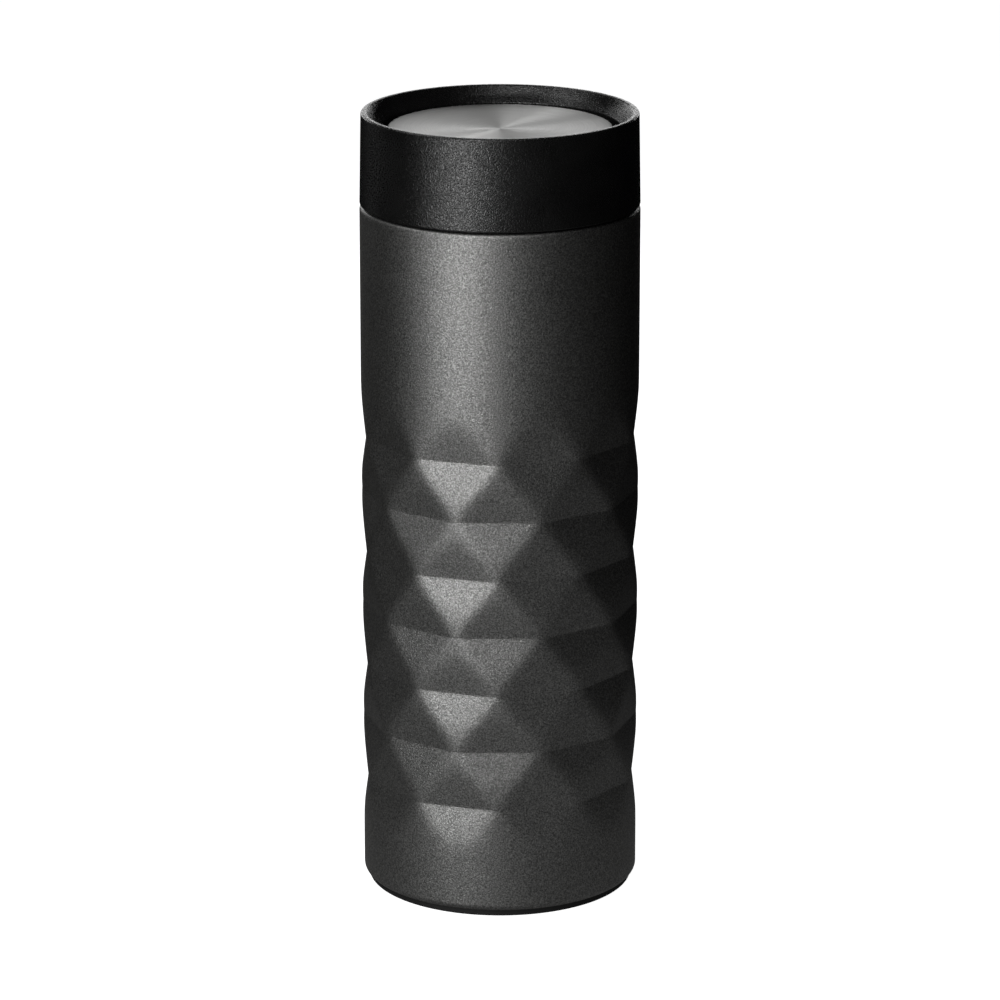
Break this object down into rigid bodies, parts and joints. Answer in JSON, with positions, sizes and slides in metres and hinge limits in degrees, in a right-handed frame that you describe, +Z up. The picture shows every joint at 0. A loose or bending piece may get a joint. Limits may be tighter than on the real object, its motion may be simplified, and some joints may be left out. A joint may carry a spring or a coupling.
{
  "type": "insulated tumbler",
  "caption": "Slim double-wall insulated tumbler with diamond-facet body, screw lid with thin drinking lip and a recessed round push plate that opens the drinking valve.",
  "frame": {"origin": "centre of the base pad's underside, on the tumbler's axis", "axes": "+Z up along the axis, -Y the front, +X to the right as seen from the front"},
  "size_m": [0.07, 0.07, 0.1999],
  "materials": {
    "shell_coat": "satin metallic charcoal paint with fine flake",
    "plain_steel": "electropolished stainless steel",
    "brushed_plate": "fine circular brushing",
    "spring_steel": "bright drawn stainless steel",
    "lid_plastic": "fine spark-eroded texture",
    "plug_plastic": "plain moulded",
    "acetal": "natural acetal",
    "silicone": "soft matt silicone",
    "pad_rubber": "matt rubber",
    "seal_glass": "fused glass",
    "getter_alloy": "sintered, dull"
  },
  "bodies": {
    "vessel": {"outer_shell": "shell_coat", "inner_flask": "plain_steel", "base_disc": "plain_steel", "vacuum_seal_bead": "seal_glass", "getter": "getter_alloy", "getter_clip": "plain_steel", "base_pad": "pad_rubber"},
    "lid_gasket": {"plug_gasket": "silicone"},
    "lid": {"drink_ring": "lid_plastic", "plug_body": "plug_plastic", "hub_spider": "plug_plastic", "hub_cap": "plug_plastic", "stem_seal": "silicone", "plunger_seal": "silicone", "return_spring": "spring_steel"},
    "valve": {"button_plate": "brushed_plate", "button_carrier": "plug_plastic", "stem_nut": "spring_steel", "plunger": "acetal", "valve_stem": "spring_steel", "stem_clip": "spring_steel", "valve_plate": "plug_plastic", "valve_seal": "silicone", "valve_knob": "plug_plastic"},
    "click_ring": {"click_ring": "acetal"}
  },
  "joints": [
    {"name": "lid_rise", "type": "slide", "parent": "vessel", "child": "lid_gasket", "axis": [0, 0, 1], "range_m": [0, 0.0321]},
    {"name": "lid_turn", "type": "hinge", "parent": "lid_gasket", "child": "lid", "pos_m": [0, 0, 0.17], "axis": [0, 0, 1], "range_deg": [0, 1440]},
    {"name": "button_press", "type": "slide", "parent": "lid", "child": "valve", "axis": [0, 0, -1], "range_m": [0, 0.0045], "stiffness_N_per_m": 1200, "springref_m": -0.006, "deforming": ["return_spring"]},
    {"name": "click_ring_turn", "type": "hinge", "parent": "lid", "child": "click_ring", "pos_m": [0, 0, 0.177], "axis": [0, 0, 1], "range_deg": [0, 22.6]}
  ],
  "couplings": [
    {"joint": "lid_rise", "follows": "lid_turn", "m_per_rad": 0.0012732},
    {"joint": "click_ring_turn", "follows": "button_press", "rad_per_m": 87.266}
  ]
}
